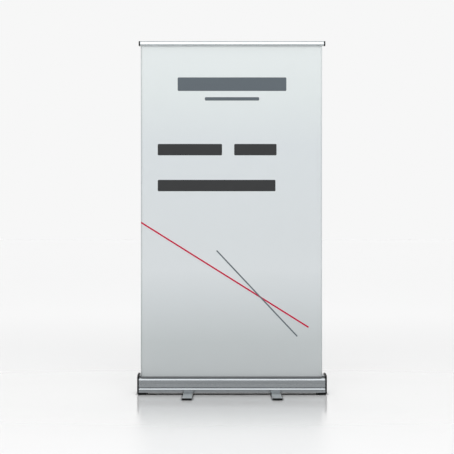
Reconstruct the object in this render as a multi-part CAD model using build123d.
from build123d import *
import os
from math import cos, radians, sin

# Roll-up banner stand: a printed sheet that winds out of a floor cassette and is held up
# by a telescopic mast behind it. Millimetres, +Z up, the printed side faces -Y.
# The origin is on the floor, midway between the two foot pivots.

# Driving dimensions
GRAPHIC_WIDTH = 1000
GRAPHIC_THICKNESS = 0.4
SHEET_X = -3
SHEET_Y = -22.3

CASSETTE_LENGTH = 1024
CASSETTE_FLOOR = 10.5
CASSETTE_TOP = 100
CASSETTE_REAR = 55
BASE_WALL = 2
COVER_WALL = 1.8
COVER_TOP = 89.5
SHOULDER_RADIUS = 18
WIPER_TOP = 96.5
END_CAP_THICKNESS = 8
CAP_ROUND = 4.5
SHOE_LENGTH = 42
SCREW_PORTS = [(-47.8, 15.2), (50, 15.2), (50, 95)]
COVER_PORT = (-40.3, 80.8)
SCREW_RADIUS = 1.9

ROLLER_Y = -4
ROLLER_Z = 58
ROLLER_RADIUS = 16
ROLLER_WALL = 1.5
ROLLER_LENGTH = 1008
AXLE_RADIUS = 4
COIL_RADIUS = 17.8
LEADER_RADIUS = 16.4
SPRING_WIRE = 3
SPRING_TURNS = 60

FOOT_PIVOT_X = 241
FOOT_LENGTH = 408
FOOT_WIDTH = 50
FOOT_TOP = 9.5
FOOT_UNDERSIDE = 2
FOOT_PLATE = 3.5
FOOT_TIP = 6
PIVOT_RADIUS = 3

MAST_Y = 32
LOWER_RADIUS = 11
MIDDLE_RADIUS = 9.3
UPPER_RADIUS = 7.6
MAST_WALL = 0.9
LOWER_BOTTOM = 15
LOWER_TOP = 681
MIDDLE_TOP = 1295
UPPER_TOP = 1910
MAST_OVERLAP = 60
BUSH_HEIGHT = 10
RUNNING_GAP = 0.05

RAIL_LENGTH = 1012
RAIL_BOTTOM = 1919
RAIL_TOP = 1943.7
RAIL_CAP_THICKNESS = 8
JAW_GAP = 0.3
JAW_AXIS = (-26.5, 1939)
BEAD_RADIUS = 2
HEAD_RADIUS = 10

BASE = (Align.CENTER, Align.CENTER, Align.MIN)
HALF_CASSETTE = CASSETTE_LENGTH / 2
SPRING_START = 30 - HALF_CASSETTE
SHEET_LEFT = SHEET_X - GRAPHIC_WIDTH / 2
SHEET_RIGHT = SHEET_X + GRAPHIC_WIDTH / 2
MIDDLE_BOTTOM = LOWER_TOP - MAST_OVERLAP
UPPER_BOTTOM = MIDDLE_TOP - MAST_OVERLAP


def rod_z(radius, bottom, top, x=0, y=0):
    """A round bar standing from bottom to top."""
    return Pos(x, y, bottom) * Cylinder(radius, top - bottom, align=BASE)


def tube_z(outer, inner, bottom, top, x=0, y=0):
    """A tube standing from bottom to top."""
    return rod_z(outer, bottom, top, x, y) - rod_z(inner, bottom, top, x, y)


def rod_x(radius, start, end, y=ROLLER_Y, z=ROLLER_Z):
    """A round bar lying along X."""
    return Pos(start, y, z) * Rot(0, 90, 0) * Cylinder(radius, end - start, align=BASE)


def tube_x(outer, inner, start, end, y=ROLLER_Y, z=ROLLER_Z):
    """A tube lying along X."""
    return rod_x(outer, start, end, y, z) - rod_x(inner, start, end, y, z)


def block(x, y, z):
    """A box given by its low and high limit on each axis."""
    size = (x[1] - x[0], y[1] - y[0], z[1] - z[0])
    return Pos(x[0], y[0], z[0]) * Box(*size, align=(Align.MIN,) * 3)


def wall_face(points, radii, wall):
    """Section of a bent wall: the outer line through the points and its offset to the left."""
    outer = Wire(FilletPolyline(*points, radius=radii).edges())
    return make_face(outer.offset_2d(wall, side=Side.LEFT))


def extrusion(section, start, end):
    """A section drawn in (Y, Z), run along X from start to end."""
    return extrude(Plane.YZ.offset(start) * section, amount=end - start)


def turned(points, y=MAST_Y):
    """A turned piece about the mast line, from its (radius, height) half outline."""
    half = make_face(Plane.XZ * Polyline(*points, close=True))
    return Pos(0, y, 0) * revolve(half, Axis.Z)


# ---- cassette ----

def screw_port(center):
    """The round boss inside an extrusion that takes an end cap screw."""
    return Pos(*center) * (Circle(3.6) - Circle(SCREW_RADIUS))


def cassette_base_profile():
    """Floor, front lip, rear wall and rear top in one extrusion, with three screw ports."""
    points = [(-53, 21.5), (-53, CASSETTE_FLOOR), (CASSETTE_REAR, CASSETTE_FLOOR),
              (CASSETTE_REAR, CASSETTE_TOP), (-16, CASSETTE_TOP), (-16, 88)]
    section = wall_face(points, [2, 4, 6, 1.5], BASE_WALL)
    lip = [(-52, 19.5), (-44, 19.5), (-44, 30), (-46, 30), (-46, 21.5), (-52, 21.5)]
    section += make_face(Polyline(*lip, close=True))
    for center in SCREW_PORTS:
        section += screw_port(center)
    for center in SCREW_PORTS:
        section -= Pos(*center) * Circle(SCREW_RADIUS)
    profile = extrusion(section, -HALF_CASSETTE, HALF_CASSETTE)
    profile -= rod_z(13.6, CASSETTE_TOP - 5, CASSETTE_TOP + 5, 0, MAST_Y)
    for side in (-1, 1):
        profile -= rod_z(PIVOT_RADIUS, 0, 30, side * FOOT_PIVOT_X)
    return profile


def cassette_front_cover():
    """Clip-on front: slot lip, rounded shoulder, hollow face, groove and bottom ridge."""
    points = [(-28, 75), (-28, COVER_TOP), (-50.5, COVER_TOP), (-48, 56), (-50.5, 40.5),
              (-46.5, 36.8), (-54.5, 28), (-54.5, 23), (-48, 23)]
    radii = [1.2, SHOULDER_RADIUS, 80, 1.5, 1, 1.5, 1.5]
    section = wall_face(points, radii, COVER_WALL)
    section += screw_port(COVER_PORT)
    section -= Pos(*COVER_PORT) * Circle(SCREW_RADIUS)
    return extrusion(section, -HALF_CASSETTE, HALF_CASSETTE)


def slot_wiper_strip():
    """Felt strip along the front lip of the slot, which wipes the print as it winds in."""
    half = HALF_CASSETTE - 1
    strip = block((-half, half), (-28, -25.6), (COVER_TOP - 9, WIPER_TOP))
    return fillet(strip.edges().filter_by(Axis.X).group_by(Axis.Z)[-1], 1)


def end_cap(side):
    """Moulded end of the cassette: arched plate, hub for the roller and a shoe underneath."""
    points = [(-58, 3.5), (58, 3.5), (58, 102), (8, 112.5), (-38, 110), (-58, 98)]
    outline = FilletPolyline(*points, radius=[9, 9, 14, 40, 20, 14], close=True)
    plate = extrusion(make_face(outline), HALF_CASSETTE, HALF_CASSETTE + END_CAP_THICKNESS)
    plate = fillet(plate.faces().sort_by(Axis.X)[-1].edges(), CAP_ROUND)
    hub = rod_x(8, HALF_CASSETTE - 4.5, HALF_CASSETTE)
    shoe = block((HALF_CASSETTE - SHOE_LENGTH, HALF_CASSETTE), (-51, 53), (4, CASSETTE_FLOOR))
    shoe = fillet(shoe.edges().filter_by(Axis.X).group_by(Axis.Z)[0], 3)
    cap = plate + hub + shoe - rod_x(AXLE_RADIUS, HALF_CASSETTE - 5, HALF_CASSETTE + 4)
    for y, z in SCREW_PORTS + [COVER_PORT]:
        cap -= rod_x(SCREW_RADIUS, HALF_CASSETTE, HALF_CASSETTE + 10, y, z)
        cap -= rod_x(3.6, HALF_CASSETTE + 5, HALF_CASSETTE + 10, y, z)
    return cap if side > 0 else mirror(cap, about=Plane.YZ)


def end_cap_screws():
    """Four pan head screws through each end cap into the screw ports."""
    screws = []
    for y, z in SCREW_PORTS + [COVER_PORT]:
        start = HALF_CASSETTE + 5
        screw = rod_x(SCREW_RADIUS, start - 17, start, y, z) + rod_x(3.5, start, start + 1.8, y, z)
        screw -= block((start + 0.8, start + 3), (y - 2.6, y + 2.6), (z - 0.4, z + 0.4))
        screw -= block((start + 0.8, start + 3), (y - 0.4, y + 0.4), (z - 2.6, z + 2.6))
        screws += [screw, mirror(screw, about=Plane.YZ)]
    return Compound(children=screws)


# ---- roller ----

def roller_plug(side):
    """Turned end plug of the roller tube, with a flange outside the tube."""
    half = ROLLER_LENGTH / 2
    plug = rod_x(ROLLER_RADIUS - ROLLER_WALL, half - 20, half) + rod_x(15.5, half, half + 3)
    plug -= rod_x(AXLE_RADIUS + RUNNING_GAP, half - 30, half + 10)
    return plug if side > 0 else mirror(plug, about=Plane.YZ)


def spring_shaft():
    """Fixed shaft through the spring, ending in the disc that anchors it."""
    end = SPRING_START + SPRING_TURNS * SPRING_WIRE + 0.3
    return rod_x(AXLE_RADIUS, -HALF_CASSETTE - 4, end + 5) + rod_x(9, end, end + 4)


def torsion_spring():
    """Close-wound spring about the shaft, as a ribbed sleeve with one rib per turn."""
    inner = AXLE_RADIUS + 1.2
    edges = [Line((0, inner), (0, inner + SPRING_WIRE / 2))]
    for turn in range(SPRING_TURNS):
        left = (turn * SPRING_WIRE, inner + SPRING_WIRE / 2)
        right = ((turn + 1) * SPRING_WIRE, inner + SPRING_WIRE / 2)
        crest = ((turn + 0.5) * SPRING_WIRE, inner + SPRING_WIRE)
        edges.append(ThreePointArc(left, crest, right))
    length = SPRING_TURNS * SPRING_WIRE
    edges.append(Line((length, inner + SPRING_WIRE / 2), (length, inner)))
    edges.append(Line((length, inner), (0, inner)))
    half = make_face(Plane.XZ * Curve(edges))
    return Pos(SPRING_START, ROLLER_Y, ROLLER_Z) * revolve(half, Axis.X)


# ---- feet ----

def at_foot(side, shape):
    """A shape modelled about the pivot line, moved under one end of the cassette."""
    return Pos(side * FOOT_PIVOT_X, 0, 0) * shape


def foot_bar(side):
    """Extruded flat bar: open underneath, chamfered above, with shallow lengthwise ribs."""
    half = FOOT_WIDTH / 2
    bar = Box(FOOT_WIDTH, FOOT_LENGTH, FOOT_TOP - FOOT_UNDERSIDE)
    bar = Pos(0, 0, (FOOT_TOP + FOOT_UNDERSIDE) / 2) * bar
    top_edges = bar.edges().filter_by(Axis.Y).group_by(Axis.Z)[-1]
    bar = chamfer(top_edges, 1.5)
    hollow = half - 2.5
    bar -= block((-hollow, hollow), (-FOOT_LENGTH, FOOT_LENGTH), (0, FOOT_TOP - FOOT_PLATE))
    for groove in range(-3, 4):
        x = groove * 6
        bar -= block((x - 1, x + 1), (-FOOT_LENGTH, FOOT_LENGTH), (FOOT_TOP - 0.8, FOOT_TOP + 1))
    bar -= rod_z(PIVOT_RADIUS, 0, 30)
    return at_foot(side, bar)


def foot_tip(side, front):
    """Moulded plug that closes one end of the bar, with well rounded lower corners."""
    half = FOOT_WIDTH / 2 + 1.5
    end = FOOT_LENGTH / 2
    top = FOOT_TOP + 0.5
    corners = [(-half, 0.5), (half, 0.5), (half, top), (-half, top)]
    face = make_face(FilletPolyline(*corners, radius=[4.5, 4.5, 1.5, 1.5], close=True))
    tip = extrude(Plane.XZ.offset(end) * face, amount=FOOT_TIP)
    tip = fillet(tip.faces().sort_by(Axis.Y)[0].edges(), 1.2)
    tip += block((-22.2, 22.2), (-end, -end + 24), (1.5, FOOT_TOP - FOOT_PLATE - 0.2))
    if not front:
        tip = mirror(tip, about=Plane.XZ)
    return at_foot(side, tip)


def foot_pads(side):
    """Two rubber discs under the tongues of the tips."""
    pads = []
    for end in (-1, 1):
        pads.append(rod_z(9, 0, 1.5, 0, end * (FOOT_LENGTH / 2 - 12)))
    return at_foot(side, Compound(children=pads))


def pivot_bolts():
    """Hex bolt through each bar into the cassette floor."""
    bolts = []
    for side in (-1, 1):
        head_top = FOOT_TOP - FOOT_PLATE
        head = extrude(Pos(0, 0, head_top - 3.5) * RegularPolygon(5.5, 6), amount=3.5)
        bolt = head + rod_z(PIVOT_RADIUS - RUNNING_GAP, head_top - 1, CASSETTE_FLOOR + 8)
        bolts.append(at_foot(side, bolt))
    return Compound(children=bolts)


def pivot_nuts():
    """Lock nut on each pivot bolt, inside the cassette."""
    nuts = []
    for side in (-1, 1):
        height = CASSETTE_FLOOR + BASE_WALL
        nut = extrude(Pos(0, 0, height) * RegularPolygon(5.7, 6), amount=5)
        nuts.append(at_foot(side, nut - rod_z(PIVOT_RADIUS, 0, 30)))
    return Compound(children=nuts)


def friction_washers():
    """Thin washer between each bar and the cassette floor."""
    washers = []
    for side in (-1, 1):
        washers.append(at_foot(side, tube_z(11, PIVOT_RADIUS + 0.3, FOOT_TOP, CASSETTE_FLOOR)))
    return Compound(children=washers)


# ---- mast ----

def mast_socket():
    """Moulded socket: a collar above the rear top, a sleeve and a screwed foot plate."""
    floor = CASSETTE_FLOOR + BASE_WALL
    bore = LOWER_RADIUS + 0.05
    socket = tube_z(13.3, bore, floor, CASSETTE_TOP + 3, 0, MAST_Y)
    socket += tube_z(15, bore, CASSETTE_TOP, CASSETTE_TOP + 3, 0, MAST_Y)
    plate = block((-32, 32), (MAST_Y - 13, MAST_Y + 13), (floor, floor + 3))
    socket += plate - rod_z(bore, floor + 2, floor + 4, 0, MAST_Y)
    for side in (-1, 1):
        socket -= rod_z(1.75, floor, floor + 5, side * 24, MAST_Y)
    return socket


def socket_screws():
    """Two short screws that hold the socket's foot plate to the cassette floor."""
    top = CASSETTE_FLOOR + BASE_WALL + 3
    screws = []
    for side in (-1, 1):
        x = side * 24
        screws.append(rod_z(1.7, top - 3, top, x, MAST_Y) + rod_z(3.2, top, top + 2, x, MAST_Y))
    return Compound(children=screws)


def mast_foot_plug():
    """Plug in the bottom of the lower tube."""
    bore = LOWER_RADIUS - MAST_WALL
    bottom = CASSETTE_FLOOR + BASE_WALL + 2.2
    return rod_z(bore - RUNNING_GAP, bottom, bottom + 12, 0, MAST_Y)


def guide_bush(outer_bore, tube_radius, bottom):
    """Ring below a sliding tube, which guides it in the tube outside, with a spigot in it."""
    slide = outer_bore - RUNNING_GAP
    spigot = tube_radius - MAST_WALL - RUNNING_GAP
    hollow = spigot - 1.5
    outline = [(hollow, bottom - BUSH_HEIGHT), (slide, bottom - BUSH_HEIGHT), (slide, bottom),
               (spigot, bottom), (spigot, bottom + 15), (hollow, bottom + 15)]
    return turned(outline)


def clamp_sleeve(tube_radius, inner_radius, tube_top):
    """Moulded sleeve on a tube's top, with a slim neck that grips the next tube."""
    grip = tube_radius + RUNNING_GAP
    neck = inner_radius + RUNNING_GAP
    outline = [(grip, tube_top - 24), (grip + 2.5, tube_top - 24), (grip + 2.5, tube_top + 2),
               (neck + 1.6, tube_top + 2), (neck + 1.6, tube_top + 18), (neck, tube_top + 18),
               (neck, tube_top), (grip, tube_top)]
    return turned(outline)


def clamp_collar(tube_radius, inner_radius, tube_top):
    """Twist collar round the neck of the sleeve, with lengthwise grip flutes."""
    outer = tube_radius + 4
    bore = inner_radius + RUNNING_GAP + 1.6 + RUNNING_GAP
    outline = [(bore, tube_top + 2.3), (outer, tube_top + 2.3), (outer, tube_top + 22),
               (outer - 1.5, tube_top + 24), (inner_radius + 0.4, tube_top + 24),
               (inner_radius + 0.4, tube_top + 18.3), (bore, tube_top + 18.3)]
    collar = turned(outline)
    for flute in range(12):
        angle = radians(flute * 30)
        x = (outer + 0.5) * cos(angle)
        y = MAST_Y + (outer + 0.5) * sin(angle)
        collar -= rod_z(1.3, tube_top, tube_top + 20, x, y)
    return collar


def mast_head():
    """Moulded cap on the upper tube, with an arm forward and an upright tongue for the rail."""
    bottom = UPPER_TOP - 25
    cap = rod_z(HEAD_RADIUS, bottom, UPPER_TOP + 4, 0, MAST_Y)
    cap = fillet(cap.edges().group_by(Axis.Z)[-1], 2)
    arm = block((-9, 9), (-18.3, MAST_Y), (UPPER_TOP - 14, UPPER_TOP + 2))
    arm = chamfer(arm.edges().filter_by(Axis.X).group_by(Axis.Z)[0], 6)
    tongue = block((-14, 14), (-18.3, -14.6), (UPPER_TOP - 4, RAIL_TOP - 1.55))
    head = cap + arm + tongue
    head -= rod_z(UPPER_RADIUS + RUNNING_GAP, bottom - 1, UPPER_TOP, 0, MAST_Y)
    return head - rod_x(1.5, -20, 20, MAST_Y, UPPER_TOP - 20)


def head_pin():
    """Roll pin across the head and the upper tube."""
    return tube_x(1.5, 0.8, -9.8, 9.8, MAST_Y, UPPER_TOP - 20)


def mast_upper_tube():
    """Upper tube, cross-drilled for the head pin."""
    tube = tube_z(UPPER_RADIUS, UPPER_RADIUS - MAST_WALL, UPPER_BOTTOM, UPPER_TOP, 0, MAST_Y)
    return tube - rod_x(1.5, -20, 20, MAST_Y, UPPER_TOP - 20)


# ---- top rail ----

def rail_rear_profile():
    """Rear half of the snap rail: clamp plate, hook channel and the bead the jaw turns on."""
    points = [(-11, RAIL_BOTTOM + 1), (-11, RAIL_TOP), (-21.8, RAIL_TOP), (-21.8, RAIL_BOTTOM)]
    section = wall_face(points, [1.5, 0.5], 1.5)
    axis_y, axis_z = JAW_AXIS
    section += Pos((axis_y - 21) / 2, axis_z) * Rectangle(-21 - axis_y, 1.4)
    section += Pos(axis_y, axis_z) * Circle(BEAD_RADIUS)
    return extrusion(section, -RAIL_LENGTH / 2, RAIL_LENGTH / 2)


def rail_front_jaw():
    """Front half of the snap rail: a hook round the bead, a twice creased face and a lip."""
    axis_y, axis_z = JAW_AXIS
    hook = Circle(4) - Circle(BEAD_RADIUS + 0.08)
    gap = [(0, 0)] + [(9 * cos(radians(a)), 9 * sin(radians(a))) for a in (-28, 24, 78)]
    hook -= make_face(Polyline(*gap, close=True))
    section = Pos(axis_y, axis_z) * hook
    section += wall_face([(axis_y - 4, RAIL_TOP - 0.3), (axis_y - 4, axis_z - 1), (-32, 1927),
                          (-32, RAIL_BOTTOM), (SHEET_Y - 0.5, RAIL_BOTTOM),
                          (SHEET_Y - 0.5, RAIL_BOTTOM + 3)], [2, 3, 1.5, 0.4], 1.4)
    section -= Pos(axis_y, axis_z) * Circle(BEAD_RADIUS + 0.08)
    half = RAIL_LENGTH / 2 - JAW_GAP
    return extrusion(section, -half, half)


def rail_cap(side):
    """Moulded end of the top rail, with a spigot in the hook channel."""
    start = RAIL_LENGTH / 2
    points = [(-32.6, RAIL_BOTTOM - 0.4), (-10.4, RAIL_BOTTOM - 0.4), (-10.4, RAIL_TOP),
              (-29.5, RAIL_TOP), (-32.6, 1928)]
    outline = FilletPolyline(*points, radius=[2, 2, 2, 3, 4], close=True)
    cap = extrusion(make_face(outline), start, start + RAIL_CAP_THICKNESS)
    cap = fillet(cap.faces().sort_by(Axis.X)[-1].edges(), 1)
    cap += block((start - 14, start), (-19.9, -12.9), (RAIL_BOTTOM + 4, RAIL_TOP - 2))
    return cap if side > 0 else mirror(cap, about=Plane.YZ)


# ---- graphic ----

def graphic_panel():
    """The printed sheet from the roller's front tangent up into the rail."""
    half = GRAPHIC_THICKNESS / 2
    return block((SHEET_LEFT, SHEET_RIGHT), (SHEET_Y - half, SHEET_Y + half),
                 (ROLLER_Z, RAIL_TOP - 9.7))


parts = {
    "cassette_base_profile": cassette_base_profile(),
    "cassette_front_cover": cassette_front_cover(),
    "slot_wiper_strip": slot_wiper_strip(),
    "end_cap_screws": end_cap_screws(),
    "spring_shaft": spring_shaft(),
    "torsion_spring": torsion_spring(),
    "idle_axle": rod_x(AXLE_RADIUS, HALF_CASSETTE - 50, HALF_CASSETTE + 4),
    "roller_tube": tube_x(ROLLER_RADIUS, ROLLER_RADIUS - ROLLER_WALL,
                          -ROLLER_LENGTH / 2, ROLLER_LENGTH / 2),
    "roller_spring_plug": roller_plug(-1),
    "roller_idle_plug": roller_plug(1),
    "leader_strip": tube_x(LEADER_RADIUS, ROLLER_RADIUS, SHEET_LEFT, SHEET_RIGHT),
    "graphic_coil": tube_x(COIL_RADIUS, LEADER_RADIUS, SHEET_LEFT, SHEET_RIGHT),
    "graphic_panel": graphic_panel(),
    "foot_pivot_bolts": pivot_bolts(),
    "foot_pivot_nuts": pivot_nuts(),
    "foot_friction_washers": friction_washers(),
    "mast_socket": mast_socket(),
    "socket_screws": socket_screws(),
    "mast_foot_plug": mast_foot_plug(),
    "mast_lower_tube": tube_z(LOWER_RADIUS, LOWER_RADIUS - MAST_WALL,
                              LOWER_BOTTOM + 0.2, LOWER_TOP, 0, MAST_Y),
    "lower_clamp_sleeve": clamp_sleeve(LOWER_RADIUS, MIDDLE_RADIUS, LOWER_TOP),
    "lower_clamp_collar": clamp_collar(LOWER_RADIUS, MIDDLE_RADIUS, LOWER_TOP),
    "mast_middle_tube": tube_z(MIDDLE_RADIUS, MIDDLE_RADIUS - MAST_WALL,
                               MIDDLE_BOTTOM, MIDDLE_TOP, 0, MAST_Y),
    "mast_middle_bush": guide_bush(LOWER_RADIUS - MAST_WALL, MIDDLE_RADIUS, MIDDLE_BOTTOM),
    "upper_clamp_sleeve": clamp_sleeve(MIDDLE_RADIUS, UPPER_RADIUS, MIDDLE_TOP),
    "upper_clamp_collar": clamp_collar(MIDDLE_RADIUS, UPPER_RADIUS, MIDDLE_TOP),
    "mast_upper_tube": mast_upper_tube(),
    "mast_upper_bush": guide_bush(MIDDLE_RADIUS - MAST_WALL, UPPER_RADIUS, UPPER_BOTTOM),
    "mast_head": mast_head(),
    "head_pin": head_pin(),
    "rail_rear_profile": rail_rear_profile(),
    "rail_front_jaw": rail_front_jaw(),
}
for name, side in (("left", -1), ("right", 1)):
    parts[f"{name}_end_cap"] = end_cap(side)
    parts[f"{name}_rail_cap"] = rail_cap(side)
    parts[f"{name}_foot_bar"] = foot_bar(side)
    parts[f"{name}_foot_front_tip"] = foot_tip(side, True)
    parts[f"{name}_foot_rear_tip"] = foot_tip(side, False)
    parts[f"{name}_foot_pads"] = foot_pads(side)

os.makedirs("parts", exist_ok=True)
for node, shape in parts.items():
    export_step(shape, f"parts/{node}.step")
